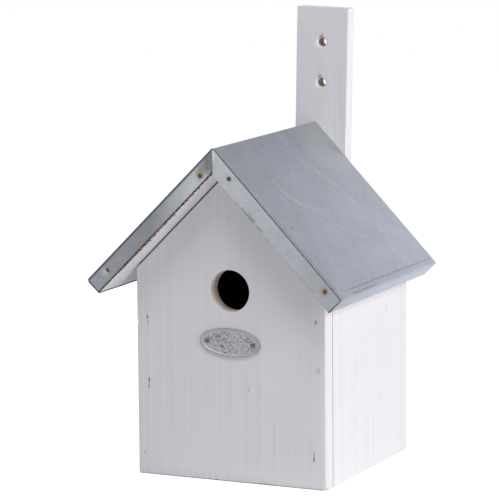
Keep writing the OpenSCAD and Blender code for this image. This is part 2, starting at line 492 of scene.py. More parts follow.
def makePaintedPine(name, stretch, marks=(), thin=paintLook["thin"], tornFront=None, scuffed=False):
    material, shader, place = newMaterial(name, Specular_IOR_Level=0.3)
    grain = grainAt(place, stretch)
    cloud = mottleAt(place, 22.0)
    streak = spanNode(grain["Bands"], 0.38, 0.68)
    worn = times(streak, spanNode(cloud["Cloud"], 0.35, 0.65, 0.35, 1.0))
    colour = mixNode(worn, paintLook["paint"], thin)
    colour = stain(colour, spanNode(grain["Pores"], 0.56, 0.78), 0.22, thin)
    for centre, shape, radius, depth, tone in marks:
        mark = roundMark(place, centre, radius, 0.5, shape)
        colour = stain(colour, mark, depth, paintLook[tone])
    if scuffed:
        colour = scuffFoot(place, colour)
    if tornFront is not None:
        colour = tearFront(place, colour, tornFront)
    rough = spanNode(grain["Pores"], 0.3, 0.7, 0.62, 0.8)
    normal = bumped(grain["Height"], 0.35, paintLook["grainHeight"])
    fill(shader, Base_Color=colour, Roughness=rough, Normal=normal)
    return material


# bare pine
holeLook = {
    "outer": (1.16, 1.16, 1.16), "inner": (0.78, 0.71, 0.67), "brown": (0.20, 0.14, 0.10),
    "innerFrom": 2 * mm, "innerTo": 12.5 * mm,  # depths behind the front face
    "brownFrom": 5 * mm, "brownTo": 14 * mm,  # distances below the hole's middle
    "brownDepth": 0.75, "splinterDepth": 0.8,
}
rawGrainHeight = 0.4 * mm


def darkenHole(place, colour):
    # painted light at the mouth of the entrance and painted shade deeper in; splintered towards its inner
    # end, and brown below
    spot = axesOf(place)
    face, middle = wallLow[1], entrance["height"]
    inner = spanNode(spot["Y"], face + holeLook["innerFrom"], face + holeLook["innerTo"])
    colour = tinted(colour, mixNode(inner, holeLook["outer"], holeLook["inner"]))
    splinter = mottleAt(place, 420.0)
    specks = times(spanNode(splinter["Speck"], 0.5, 0.62), inner)
    below = spanNode(spot["Z"], middle - holeLook["brownFrom"], middle - holeLook["brownTo"])
    brown = times(times(inner, below), holeLook["brownDepth"])
    brown = larger(brown, times(specks, holeLook["splinterDepth"]))
    return mixNode(brown, colour, holeLook["brown"])


def makeRawPine(name, stretch, light, dark, low=0.35, high=0.65, isEntrance=False):
    material, shader, place = newMaterial(name, Specular_IOR_Level=0.2)
    grain = grainAt(place, stretch)
    colour = mixNode(spanNode(grain["Bands"], low, high), light, dark)
    colour = mixNode(spanNode(grain["Pores"], 0.5, 0.75, 0.0, 0.5), colour, dark)
    if isEntrance:
        colour = darkenHole(place, colour)
    rough = spanNode(grain["Pores"], 0.3, 0.7, 0.8, 0.95)
    normal = bumped(grain["Height"], 0.6, rawGrainHeight)
    fill(shader, Base_Color=colour, Roughness=rough, Normal=normal)
    return material


# rust stains sit round the nails, so the zinc needs their places too
nailPlaces = {
    "left_upper": {"rust": 1.0, "halo": 5 * mm, "shift": (-0.7, 1.3), "bent": False},
    "left_lower": {"rust": 0.2, "halo": 5 * mm, "shift": (-0.7, 1.3), "bent": True},
    "right_upper": {"rust": 0.2, "halo": 4 * mm, "shift": (-0.7, 1.3), "bent": False},
    "right_lower": {"rust": 0.8, "halo": 4.6 * mm, "shift": (-0.7, 0.2), "bent": False},
}
zincLook = {
    "metal": 0.75, "spangle": 170.0, "light": (0.305, 0.322, 0.375), "dark": (0.281, 0.295, 0.344),
    "dirt": (0.085, 0.088, 0.095), "rust": (0.36, 0.23, 0.10), "pale": (0.55, 0.56, 0.58),
    "grainHeight": 0.05 * mm,
}


# dull zinc with a faint spangle, and what its patterns are made from
def startZinc(name):
    material, shader, place = newMaterial(name)
    cloud = mottleAt(place, 42.0)
    grain = mottleAt(place, 330.0)
    spangle = newNode(
        "ShaderNodeTexVoronoi", feature="F1", Vector=place, Scale=zincLook["spangle"], Randomness=1.0,
    )
    facet = newNode("ShaderNodeSeparateColor", Color=spangle.outputs["Color"]).outputs
    colour = mixNode(spanNode(cloud["Cloud"], 0.35, 0.65), zincLook["dark"], zincLook["light"])
    grit = times(
        spanNode(grain["Cloud"], 0.3, 0.7, 0.94, 1.06),
        spanNode(grain["Speck"], 0.35, 0.65, 0.94, 1.06),
    )
    grit = times(grit, spanNode(facet["Red"], 0.0, 1.0, 0.985, 1.015))
    colour = tinted(colour, grit)
    rough = times(facet["Green"], 0.05)
    rough = mathNode("ADD", spanNode(cloud["Cloud"], 0.3, 0.7, 0.44, 0.52), rough)
    fill(shader, Roughness=rough, Normal=bumped(grain["Speck"], 0.15, zincLook["grainHeight"]))
    return material, shader, place, colour, axesOf(place)


# the two slopes: painted reflection makes them paler towards the eaves and the rear, with painted shade along
# creases, a painted eave glint, a painted light patch by the batten, scratches and a speck
def makeZincTop():
    look = {
        "heights": (260 * mm, 150 * mm), "ridge": 0.90, "eave": 1.13,
        "depths": (-100 * mm, 80 * mm), "front": 0.92, "rear": 1.2,
        "bloom": (13, 64), "litPatchRadius": 46 * mm, "litPatchTone": (0.44, 0.475, 0.44), "litPatchDepth": 0.55,
        # marks on the right slope: distance from the ridge and y at both ends, width, depth
        "shadedCreases": [
            (144.2, -100, 144.9, 78, 0.9, 0.5), (148.6, -86, 148.4, -36, 0.9, 0.5),
            (62, -104.4, 158, -104.4, 1.4, 0.55),
        ],
        "scratches": [
            (28, 2, 46, 19, 2.0, 0.18), (40, 13, 62, 28, 2.2, 0.22), (54, 23, 80, 33, 1.8, 0.2),
            (38, -61, 58, -59, 2.6, 0.16), (52, -60.5, 68, -50, 2.6, 0.18), (62, -55, 79, -25, 2.2, 0.15),
            (10, -20, 30, 8, 2.0, 0.08), (84, -40, 112, 10, 2.4, 0.08), (96, 30, 128, 44, 2.6, 0.1),
        ],
        "eaveGlint": 1.25, "glintReach": 2 * mm,
        "speck": Vector((57.0, -90.4, 200.7)) * mm, "speckRadius": 1.5 * mm,
    }
    material, shader, place, colour, spot = startZinc("zincTop")
    # painted reflection: paler towards the eaves and towards the rear
    reflectionDownSlope = spanNode(spot["Z"], *look["heights"], look["ridge"], look["eave"])
    reflectionToRear = spanNode(spot["Y"], *look["depths"], look["front"], look["rear"])
    colour = tinted(colour, times(reflectionDownSlope, reflectionToRear))
    # a painted light patch at the rear of the right slope near the ridge, lifting the shade the batten casts
    along, y = look["bloom"]
    bloom = roundMark(place, onRightSlope(along, 0, y) * mm, look["litPatchRadius"], 0.3)
    colour = stain(colour, bloom, look["litPatchDepth"], look["litPatchTone"])
    eaveZ = onRightSlope(roof["slopeLength"] / mm, 0, 0).z * mm
    glintFrom, glintTo = eaveZ + look["glintReach"], eaveZ - look["glintReach"]
    colour = tinted(colour, spanNode(spot["Z"], glintFrom, glintTo, 1.0, look["eaveGlint"]))
    # the creases are painted shade lines in the dark tone, the scratches pale wear
    for marks, tone in ((look["shadedCreases"], zincLook["dirt"]), (look["scratches"], zincLook["pale"])):
        for fromRidge, fromY, toRidge, toY, width, depth in marks:
            start, end = onRightSlope(fromRidge, 0, fromY), onRightSlope(toRidge, 0, toY)
            colour = stain(colour, lineBetween(place, start, end, width), depth, tone)
    speck = roundMark(place, look["speck"], look["speckRadius"], 0.3)
    colour = mixNode(speck, colour, zincLook["dirt"])
    fill(shader, Base_Color=colour, Metallic=zincLook["metal"])
    return material


# where the front flanges are dark: painted shade along the left fold, by the seam and in the gap under the
# right lower edge, a smudge of dirt just above that edge, and their darker ends
def flangeShadeAndGrime(place, spot):
    face = roofFront / mm
    look = {
        "ends": {1: 0.6, -1: 0.85}, "endFrom": 1.3 * mm, "endTo": 0.7 * mm,
        "fold": 0.9, "foldFrom": 2.4 * mm, "foldTo": 1.6 * mm,
        # both ends, width, depth
        "seam": [
            ((-1, face, 275), (-1, face, 240), 1.6, 0.85), ((-3, face, 285), (-4.5, face, 237), 11.0, 0.75),
        ],
        "seamBlend": 0.2 * mm,
        # distances from the ridge and the fold at both ends, width, depth
        "edgeShadeAndSmudges": [
            (42.4, 14.4, 45.4, 14.2, 1.2, 0.6), (46.4, 14.2, 64.4, 13.9, 1.4, 0.75),
            (53, 13.2, 64, 13.0, 2.8, 0.4), (65.4, 13.2, 72.4, 14.0, 1.6, 0.45),
            (34, 14.5, 150, 14.4, 0.9, 0.35),
        ],
    }
    shadeAndGrime = 0.0
    for side, depth in look["ends"].items():
        angle = sideSlope(side)
        run = vectorNode("DOT_PRODUCT", place, (side * math.cos(angle), 0, -math.sin(angle)))
        edge = roof["slopeLength"] - ridgeZ * math.sin(angle)
        ending = spanNode(run, edge - look["endFrom"], edge - look["endTo"], 0.0, depth)
        shadeAndGrime = larger(shadeAndGrime, ending)
    # painted shade along the left flange's fold
    under = vectorNode("DOT_PRODUCT", place, slopeNormal(-1))
    crest = ridgeZ * math.cos(sideSlope(-1))
    fold = spanNode(under, crest - look["foldFrom"], crest - look["foldTo"], 0.0, look["fold"])
    shadeAndGrime = larger(shadeAndGrime, fold)
    # painted shadow on the left flange beside the seam
    onLeft = spanNode(spot["X"], 0.0, -look["seamBlend"])
    for start, end, width, depth in look["seam"]:
        shade = times(lineBetween(place, start, end, width), depth)
        shadeAndGrime = larger(shadeAndGrime, times(shade, onLeft))
    # painted shade in the gap under the right flange's lower edge, and a smudge of dirt just above it
    for fromRidge, fromFold, toRidge, toFold, width, depth in look["edgeShadeAndSmudges"]:
        start, end = onRightSlope(fromRidge, fromFold, face), onRightSlope(toRidge, toFold, face)
        edgeLine = times(lineBetween(place, start, end, width), depth)
        shadeAndGrime = larger(shadeAndGrime, edgeLine)
    return shadeAndGrime


# the front flanges: painted reflection makes them brighter than the slopes, brightest by the ridge and
# darkest half way down the left; rust round the nails
def makeZincFlange():
    face = roofFront / mm
    look = {
        "paintedReflectionSpan": (-105 * mm, 105 * mm),
        "patina": [
            (0.0, (0.64, 0.64, 0.63)), (0.13, (0.54, 0.54, 0.52)), (0.25, (0.48, 0.48, 0.45)),
            (0.43, (0.95, 0.96, 0.90)), (1.0, (0.66, 0.67, 0.63)),
        ],
        "shine": (1.73, 1.73, 1.70), "haloShape": (1.0, 1.0, 0.85), "shadeAndGrimeMetal": 0.1,
        "gleam": ((0.8, face, 264), (1.0, face, 249), 1.0, 0.4), "gleamTone": (0.92, 0.93, 0.95),
        "dent": Vector((0.2, 0, -2.6)) * mm, "dentRadius": 4.5 * mm, "dentDepth": 0.6,
    }
    material, shader, place, colour, spot = startZinc("zincFlange")
    # painted reflection: the flanges' zinc is lifted over the slopes' and ramped across, darkest half way
    # down the left
    patina = rampNode(spanNode(spot["X"], *look["paintedReflectionSpan"]), look["patina"])
    colour = tinted(tinted(colour, look["shine"]), patina)
    for name, nail in nailPlaces.items():
        across, up = nail["shift"]
        centre = middleOf("roof_nail_" + name, roofFront) + Vector((across, 0, up)) * mm
        halo = roundMark(place, centre, nail["halo"], 0.6, look["haloShape"])
        colour = stain(colour, halo, nail["rust"], zincLook["rust"])
    centre = middleOf("roof_nail_left_lower", roofFront) + look["dent"]
    dent = roundMark(place, centre, look["dentRadius"], 0.3)
    colour = stain(colour, dent, look["dentDepth"], zincLook["pale"])
    # painted shade and dirt darken the flanges and take away their metal
    shadeAndGrime = flangeShadeAndGrime(place, spot)
    colour = mixNode(shadeAndGrime, colour, zincLook["dirt"])
    # a painted highlight where the right flange's end curls at the seam
    start, end, width, depth = look["gleam"]
    colour = stain(colour, lineBetween(place, start, end, width), depth, look["gleamTone"])
    metal = spanNode(shadeAndGrime, 0.0, 1.0, zincLook["metal"], look["shadeAndGrimeMetal"])
    fill(shader, Base_Color=colour, Metallic=metal)
    return material


# nails, staples, screws and the dark zinc of cut edges and painted shade: mottled metal with rust
reliefHeight = {"iron": 0.1 * mm, "cast": 0.4 * mm}


def makeIron(name, light, rust, amount, metal=0.6):
    material, shader, place = newMaterial(name, Metallic=metal)
    cloud = mottleAt(place, 380.0)
    rusty = spanNode(cloud["Cloud"], 0.62 - amount * 0.4, 0.72 - amount * 0.2)
    rough = spanNode(cloud["Cloud"], 0.3, 0.7, 0.4, 0.75)
    normal = bumped(cloud["Speck"], 0.3, reliefHeight["iron"])
    fill(shader, Base_Color=mixNode(rusty, light, rust), Roughness=rough, Normal=normal)
    return material


def makeCastMetal(name, light, dark, flecks):
    material, shader, place = newMaterial(name, Metallic=0.6)
    patch = mottleAt(place, 75.0)
    relief = mottleAt(place, 720.0)
    fleck = spanNode(relief["Cloud"], 0.50, 0.61)
    fleck = times(fleck, spanNode(patch["Cloud"], 0.40, 0.58, 0.3, 1.0))
    colour = mixNode(spanNode(patch["Speck"], 0.3, 0.7, 0.0, 0.25), light, dark)
    colour = stain(colour, fleck, flecks, dark)
    raised = spanNode(relief["Cloud"], 0.46, 0.38)
    colour = stain(colour, raised, flecks * 0.6, tuple(1.5 * part for part in light))
    rough = spanNode(relief["Cloud"], 0.3, 0.7, 0.55, 0.42)
    normal = bumped(relief["Cloud"], 0.3 * flecks, reliefHeight["cast"])
    fill(shader, Base_Color=colour, Roughness=rough, Normal=normal)
    return material


def placeMarks(rows):
    # places and radii are given in millimetres
    return [
        (Vector(centre) * mm, (1, 1, squeeze), radius * mm, depth, tone)
        for centre, squeeze, radius, depth, tone in rows
    ]


# marks on the paint: centre, upright squeeze, radius, depth and tone
sideFace, frontFace, battenFace = wallHigh[0] / mm, wallLow[1] / mm, battenLow[1] / mm
sideMarks = placeMarks([
    ((sideFace, 38, 119.5), 0.75, 3.5, 0.5, "knot"),
    ((sideFace, 25, 52), 0.7, 3.5, 0.3, "knot"),
    ((sideFace, 69, 118), 0.6, 1.6, 0.6, "knot"),
    ((sideFace, 74, 107), 0.5, 1.8, 0.6, "knot"),
])
frontMarks = placeMarks([
    # a dent drawn as a painted highlight beside painted shade
    ((18.4, frontFace, 73), 0.7, 1.6, 0.9, "pale"),
    ((15.2, frontFace, 73), 0.6, 1.6, 0.8, "knot"),
    ((72.8, frontFace, 91.7), 0.7, 2.2, 0.6, "grey"),
    ((-40, frontFace, 150), 1, 1.5, 0.4, "knot"),
])
battenMarks = placeMarks([  # torn fibres over the hanging holes, and a painted highlight on the lit left side of each rim
    ((5.4, battenFace, 326.4), 0.3, 1.1, 1.0, "bare"),
    ((7.2, battenFace, 327.0), 0.3, 1.1, 1.0, "bare"),
    ((3.8, battenFace, 295.2), 0.3, 1.0, 1.0, "bare"),
    ((5.4, battenFace, 294.2), 0.3, 1.1, 1.0, "bare"),
    ((2.2, battenFace, 322), 0.4, 2.2, 1.0, "pale"),
    ((1.4, battenFace, 290), 0.4, 2.2, 1.0, "pale"),
])
frontPaint = makePaintedPine("frontPaint", alongZ, frontMarks, scuffed=True)
sidePaint = makePaintedPine("sidePaint", alongZ, sideMarks)
battenPaint = makePaintedPine("battenPaint", alongZ, battenMarks, thin=paintLook["battenThin"])
boardPaint = makePaintedPine("boardPaint", alongY, tornFront=boardFront)
rawEdge = makeRawPine("rawPineEdge", (2.0, 0.007, 2.0), (0.30, 0.235, 0.19), (0.035, 0.03, 0.027))
rawLip = makeRawPine("rawPineLip", (0.8, 0.007, 0.8), (0.52, 0.48, 0.46), (0.06, 0.055, 0.05), 0.52, 0.62)
rawChip = makeRawPine("rawPineChip", alongZ, (0.50, 0.44, 0.42), (0.30, 0.25, 0.23))
rawSeam = makeRawPine("rawPineSeam", alongZ, (0.48, 0.39, 0.37), (0.31, 0.235, 0.215))
rawHole = makeRawPine("rawPineHole", alongZ, (0.92, 0.82, 0.80), (0.78, 0.66, 0.63), isEntrance=True)
rawBore = makeRawPine("rawPineBore", alongZ, (0.84, 0.70, 0.64), (0.50, 0.38, 0.33))
# raw pine inside the box, painted dark as the shade in there
rawInsideShade = makeRawPine("rawPineInsideShade", alongZ, (0.20, 0.14, 0.10), (0.13, 0.09, 0.06))
rawFloor = makeRawPine("rawPineFloor", alongY, (0.55, 0.43, 0.33), (0.40, 0.29, 0.21))
zincTop = makeZincTop()
zincFlange = makeZincFlange()
# dark zinc for the cut edges, also used as painted shade on the front fold and inside the eaves
zincEdgeAndShade = makeIron("zincEdgeAndShade", (0.115, 0.12, 0.13), (0.075, 0.078, 0.085), 0.4, metal=0.1)
rustyIron = makeIron("rustyNail", (0.095, 0.092, 0.088), (0.06, 0.042, 0.028), 0.4, metal=0.4)
pinIron = makeIron("pinHead", (0.16, 0.16, 0.17), (0.07, 0.06, 0.06), 0.4)
stapleIron = makeIron("stapleWire", (0.22, 0.21, 0.21), (0.12, 0.10, 0.09), 0.4)
coveredStaple = makeIron("coveredStaple", (0.55, 0.55, 0.57), (0.14, 0.12, 0.11), 0.25)
screwSteel = makeIron("screwHead", (0.60, 0.60, 0.62), (0.40, 0.38, 0.36), 0.1)
castMetal = makeCastMetal("castField", (0.40, 0.407, 0.445), (0.13, 0.133, 0.145), 0.95)
castRim = makeCastMetal("castRim", (0.345, 0.352, 0.378), (0.25, 0.254, 0.272), 0.2)
# a lighter copy of the cast metal for the rim's inner slope, as a painted highlight
castLipHighlight = makeCastMetal("castLipHighlight", (0.48, 0.486, 0.52), (0.34, 0.344, 0.37), 0.3)
print("materials made")


# walls
walls = {
    "soft": 0.7 * mm, "sideSoft": 0.42 * mm, "rise": 0.2 * mm, "corner": 1.5 * mm,
    "wornFoot": (4.2 * mm, 3.6 * mm, 7 * mm),  # how far the right foot is worn across, back and up
    "nick": {"out": 0.9 * mm, "height": 119 * mm, "radius": 2.2 * mm, "depth": 8 * mm, "sides": 16},
}
staples = {
    "wire": 0.8 * mm, "sunk": 0.6 * mm, "seat": 0.27 * mm, "soft": 0.2 * mm,
    "slotHalf": 0.56 * mm, "slotEnd": 0.3 * mm,
    "places": [  # x, z, length, and whether paint covers most of it
        (-69.9, 123.2, 3.0, False), (-69.5, 118.4, 3.2, True), (-69.0, 74.2, 3.4, False),
        (-69.5, 69.8, 4.4, True), (-73.6, 17.2, 2.2, True), (70.9, 128.6, 2.8, False),
        (69.0, 28.2, 3.6, True), (68.9, 23.6, 3.4, False),
    ],
}
chips = {
    "front": [  # x, half length, height
        (-18.2, 1.6, 1.2), (-12.2, 1.2, 1.3), (-8.4, 0.8, 0.9), (-3.5, 1.2, 0.8), (1.5, 0.7, 0.9),
        (8, 1.8, 0.9), (14.5, 0.8, 1.1), (19.5, 0.6, 1.2), (24, 1.0, 1.3), (28.5, 0.7, 1.1),
        (33, 0.6, 1.3), (37, 0.8, 1.0), (44, 1.4, 0.8), (52, 1.0, 0.9), (66, 1.6, 0.8),
        (-30, 1.6, 0.7), (-42, 1.0, 0.8), (-60, 1.4, 0.7),
    ],
    "sides": 11, "depth": 3 * mm, "tallest": 2 * mm, "largestFace": 9 * mm * mm,
}


def addGable(name, low, high, rise):
    obj = addBlock(name, low, (high[0], high[1], high[2] + overrun))
    top = high[2] + rise
    for side in (1, -1):
        trim(obj, (0, 0, top), slopeNormal(side))
    return obj


def wearFrontWall(wall):
    # slots for the staples, chips along the foot and a nick in the left edge
    for x, z, length, covered in staples["places"]:
        half = Vector((staples["slotHalf"], staples["sunk"], length * mm / 2 + staples["slotEnd"]))
        spot = Vector((x * mm, wallLow[1], z * mm))
        cutWith(wall, addBlock("stapleSlot", spot - half, spot + half))
    for x, halfLength, height in chips["front"]:
        chip = addDrum("chipCutter", (0, 0, 0), mm, chips["depth"], chips["sides"])
        chip.scale = (halfLength, 1, height)
        turnAndMove(chip, 0, (x * mm, wallLow[1], 0))
        cutWith(wall, chip)
    nick = walls["nick"]
    spot = (wallLow[0] - nick["out"], wallLow[1], nick["height"])
    cutWith(wall, addDrum("nickCutter", spot, nick["radius"], nick["depth"], nick["sides"]))


def isChip(face):
    inFoot = face.center.z < chips["tallest"] and face.center.y < wallLow[1] + chips["depth"]
    if not inFoot or face.normal.y >= 0.5 or face.area >= chips["largestFace"]:
        return False
    return any(abs(face.center.x - x * mm) < halfLength * mm for x, halfLength, height in chips["front"])


def makeFrontWall():
    wall = addGable("frontWall", wallLow, wallHigh, walls["rise"])
    middle = (0, (wallLow[1] + wallHigh[1]) / 2, entrance["height"])
    cutWith(wall, addDrum("holeCutter", middle, entrance["radius"], cutterLength, entrance["sides"]))
    upright = lambda point: abs(point.x) > wallHigh[0] - tiny and point.y < wallLow[1] + tiny
    bevelWhere(wall, "EDGE", upright, walls["corner"], 6)
    # the right foot is worn off aslant
    across, back, up = walls["wornFoot"]
    trim(wall, (wallHigh[0] - across, wallLow[1], wallLow[2]), (1 / across, -1 / back, -1 / up))
    soften(wall, walls["soft"], smooth=20)
    wearFrontWall(wall)

    def pick(face):
        away = math.hypot(face.center.x, face.center.z - entrance["height"])
        if away < entrance["radius"] + near / 2 and abs(face.normal.y) < 0.5:
            return 3
        if face.center.y > wallHigh[1] - near and abs(face.normal.y) > facing:
            return 2
        if face.center.y > wallHigh[1] - walls["soft"] and abs(face.normal.y) > 0.2:
            return 1
        if face.center.z < walls["soft"] and face.normal.z < -0.3 and face.normal.y < -0.1:
            return 1
        return 4 if isChip(face) else 0

    finishes = [frontPaint, rawSeam, rawInsideShade, rawHole, rawChip]
    finishPiece(wall, ["front_wall"], finishes, pick)


def makeStaples():
    for index, (x, z, length, covered) in enumerate(staples["places"]):
        half = Vector((staples["wire"] / 2, staples["wire"] / 4, length * mm / 2))
        spot = Vector((x * mm, wallLow[1] + staples["seat"], z * mm))
        wire = addBlock(f"staple{index + 1}", spot - half, spot + half)
        soften(wire, staples["soft"])
        finishPiece(wire, [], [coveredStaple if covered else stapleIron])


def makeBackWall():
    wall = addGable("backWall", backLow, backHigh, 0)
    soften(wall, walls["soft"])
    inside = lambda face: 1 if face.normal.y < -facing and face.center.y < backLow[1] + near else 0
    finishPiece(wall, ["back_wall"], [sidePaint, rawInsideShade], inside)


def makeSideWall(side, node):
    low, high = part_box(node)
    wall = addBlock(pieceName(node), low, (high[0], high[1], high[2] + overrun))
    inner = low[0] if side > 0 else high[0]
    trim(wall, (inner, 0, high[2]), slopeNormal(side))
    soften(wall, walls["sideSoft"])

    def pick(face):
        if face.normal.x * side < -facing:
            return 2
        return 1 if abs(face.normal.y) > 0.2 else 0

    finishPiece(wall, [node], [sidePaint, rawSeam, rawInsideShade], pick)


makeFrontWall()
makeStaples()
makeBackWall()
makeSideWall(-1, "left_wall")
makeSideWall(1, "right_wall")
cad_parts["floor_panel"].data.materials.clear()
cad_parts["floor_panel"].data.materials.append(rawFloor)
print("walls and floor made")


# roof boards: blocks laid flat, then turned down to their slope
boards = {"soft": 0.3 * mm, "chamfer": 0.6 * mm, "gap": 0.3 * mm, "rightStart": 1.8 * mm}
boards["leftStart"] = coverDepth + roof["board"] + roof["fit"] + boards["gap"]


def makeRoofBoard(side, node, start, edgeFinish):
    low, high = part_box(node)
    edge = roof["slopeLength"] - coverDepth
    foot = -coverDepth - roof["board"]
    board = addBlock(pieceName(node), (start, low[1], foot), (edge, high[1], -coverDepth))
    topEave = lambda point: point.x > edge - tiny and point.z > -coverDepth - tiny
    bevelWhere(board, "EDGE", topEave, roof["boardRadius"] - coverDepth, 5)
    lowFront = lambda point: point.y < low[1] + tiny and point.z < foot + tiny
    bevelWhere(board, "EDGE", lowFront, boards["chamfer"], 1)
    soften(board, boards["soft"])
    turnAndMove(board, sideSlope(side), (0, 0, ridgeZ))
    if side < 0:
        mirror(board, bpy.ops.mesh.normals_make_consistent)
    pick = lambda face: 1 if face.normal.y < -0.3 else 0
    finishPiece(board, [node], [boardPaint, edgeFinish], pick)


makeRoofBoard(1, "right_roof_board", boards["rightStart"], rawLip)
makeRoofBoard(-1, "left_roof_board", boards["leftStart"], rawEdge)
print("roof boards made")


# roof sheet: each half is a flat plane with its flanges extruded down, folded and then joined at the ridge
def foldSheetHalf(length, flange):
    depth = sheetHigh[1] - sheetLow[1]
    bpy.ops.mesh.primitive_plane_add(size=1, location=(length / 2, (sheetLow[1] + sheetHigh[1]) / 2, 0))
    half = bpy.context.object
    half.scale = (length, depth, 1)
    settle(half)
    # the eave is folded down first, so that the front flange follows its rounding
    eaveFold = lambda point: point.x > length - tiny and point.z > -tiny
    editSelection(half, "EDGE", eaveFold)
    extrudeBy((0, 0, -roof["eaveFlange"]))
    leaveEdit()
    bevelWhere(half, "EDGE", eaveFold, roof["eaveFold"], 5)
    editSelection(half, "FACE", anyFace)
    bpy.ops.mesh.bisect(plane_co=(0, sheetLow[1] + roof["foldLine"], 0), plane_no=(0, 1, 0))
    leaveEdit()
    frontFold = lambda point: point.y < sheetLow[1] + tiny and point.z > -roof["eaveFold"] - tiny
    editSelection(half, "EDGE", frontFold)
    extrudeBy((0, 0, -flange))
    leaveEdit()
    onFlange = lambda face: face.center.y < sheetLow[1] + tiny
    trim(half, (0, 0, -flange), (0, 0, -1), onFlange, closed=False)
    bevelWhere(half, "EDGE", frontFold, roof["foldRadius"], 5)
    return half


def atFrontFold(face):
    return face.center.y < sheetLow[1] + roof["foldRadius"]


def makeSheetHalf(side):
    flange = roof["flange"][side]
    half = foldSheetHalf(roof["slopeLength"], flange)
    turnAndMove(half, sideSlope(side), (0, 0, ridgeZ))
    trim(half, (-tiny, 0, 0), (-1, 0, 0), atFrontFold, closed=False)
    atSeam = lambda point: point.x < 2 * tiny and point.z < ridgeZ - roof["ridgeRadius"] * 2
    editSelection(half, "VERT", atSeam)
    bpy.ops.transform.translate(value=(roof["seam"] / 2, 0, 0))
    leaveEdit()
    if side < 0:
        # the left flange has a rounded corner at the foot of the seam
        low = Vector((roof["seam"] / 2, sheetLow[1], ridgeZ - flange / math.cos(sideSlope(side))))
        foot = lambda point: (point - low).length < 10 * near
        bevelWhere(half, "VERT", foot, roof["seamCut"], 5)
        mirror(half, bpy.ops.mesh.flip_normals)
    return half


def makeRoofSheet():
    right, left = makeSheetHalf(1), makeSheetHalf(-1)
    makeActive(right)
    left.select_set(True)
    bpy.ops.object.join()
    sheet = nameActive("roofSheet")
    onRidge = lambda point: abs(point.x) < near / 2 and point.z > ridgeZ - near / 2
    editSelection(sheet, "VERT", onRidge)
    bpy.ops.mesh.remove_doubles(threshold=near / 2)
    leaveEdit()
    bevelWhere(sheet, "EDGE", onRidge, roof["ridgeRadius"] * math.tan(roof["slope"]), 5)
    # the front end of the ridge is blunt
    trim(sheet, (0, 0, sheetHigh[2]), (0, 0, 1), atFrontFold, closed=False)
    for material in (zincTop, zincEdgeAndShade):
        sheet.data.materials.append(material)
    applyModifier(sheet, "SOLIDIFY", thickness=roof["sheet"], offset=-1, material_offset_rim=1)
    smoothBelow(sheet, 30)
    cutEdges = {face.index for face in sheet.data.polygons if face.material_index == 1}
    eaveX = roof["slopeLength"] * math.cos(roof["slope"]) - roof["eaveFlange"]

    def pick(face):
        if face.index in cutEdges:
            return 2
        if face.normal.y < -0.97:
            return 1
        # the fold's bevel and the inward-facing faces at the eaves take the dark zinc as painted shade
        if face.normal.y < -0.1 and atFrontFold(face):
            return 2
        inside = face.normal.x * (1 if face.center.x < 0 else -1) > 0.5 and face.normal.z > 0.5
        return 2 if inside and abs(face.center.x) > eaveX else 0

    finishPiece(sheet, ["roof_sheet"], [zincTop, zincFlange, zincEdgeAndShade], pick)


makeRoofSheet()
print("roof sheet made")


# roof nails: one domed head and shank, copied to each place
nails = {
    "headRadius": 1.7 * mm, "headHeight": 0.765 * mm, "shankRadius": 0.9 * mm, "length": 20 * mm, "sides": 24,
    "bentShift": Vector((2.6, 0, -1.2)) * mm, "bentScale": (0.5, 1, 1.1), "bentTurn": math.radians(-40),
}
headShares = {"rim": 0.35, "dome": 0.1, "soft": 0.3}  # the rim's of the radius, the others of the height


def makeNail(name, sizes):
    radius, height = sizes["headRadius"], sizes["headHeight"]
    nail = addDrum(name, (0, -height / 2, 0), radius, height, sizes["sides"])
    editSelection(nail, "FACE", lambda face: face.normal.y > facing)
    bpy.ops.mesh.inset(thickness=radius - sizes["shankRadius"])
    extrudeBy((0, sizes["length"], 0))
    leaveEdit()
    editSelection(nail, "FACE", lambda face: face.normal.y < -facing)
    bpy.ops.mesh.inset(thickness=radius * headShares["rim"])
    bpy.ops.transform.translate(value=(0, -height * headShares["dome"], 0))
    leaveEdit()
    soften(nail, height * headShares["soft"], segments=3, angle=40, smooth=40)
    return nail


def makeRoofNails():
    model = makeNail("nailModel", nails)
    for place, given in nailPlaces.items():
        spot = middleOf("roof_nail_" + place, roofFront)
        turn = 0
        nail = copyPiece(model, "roofNail_" + place)
        if given["bent"]:
            # this head was hammered over to one side
            nail.scale = nails["bentScale"]
            settle(nail)
            turn = nails["bentTurn"]
            spot += nails["bentShift"]
        turnAndMove(nail, turn, spot)
        finishPiece(nail, ["roof_nail_" + place], [rustyIron])
    discard(model)


makeRoofNails()
print("roof nails made")


# hanging batten
batten = {
    "width": 43.5 * mm, "length": 339.5 * mm, "lift": 10.5 * mm, "footX": -1 * mm, "lean": math.radians(1.4),
    "soft": 0.6 * mm, "holeRadius": 3.5 * mm, "holeSides": 48, "boreSlack": 0.3 * mm, "rim": 1.3 * mm,
    "holes": (312 * mm, 280 * mm), "screws": (45 * mm, 155 * mm),
}
screws = {
    "headRadius": 3.7 * mm, "headDepth": 1.9 * mm, "shankRadius": 1.8 * mm, "length": 20 * mm, "sides": 32,
    "slot": Vector((4, 2, 0.9)) * mm,
}


def onBatten(height):
    # a place up the leaning middle line, on the rear face
    x = batten["footX"] + height * math.sin(batten["lean"])
    return Vector((x, battenHigh[1], batten["lift"] + height * math.cos(batten["lean"])))


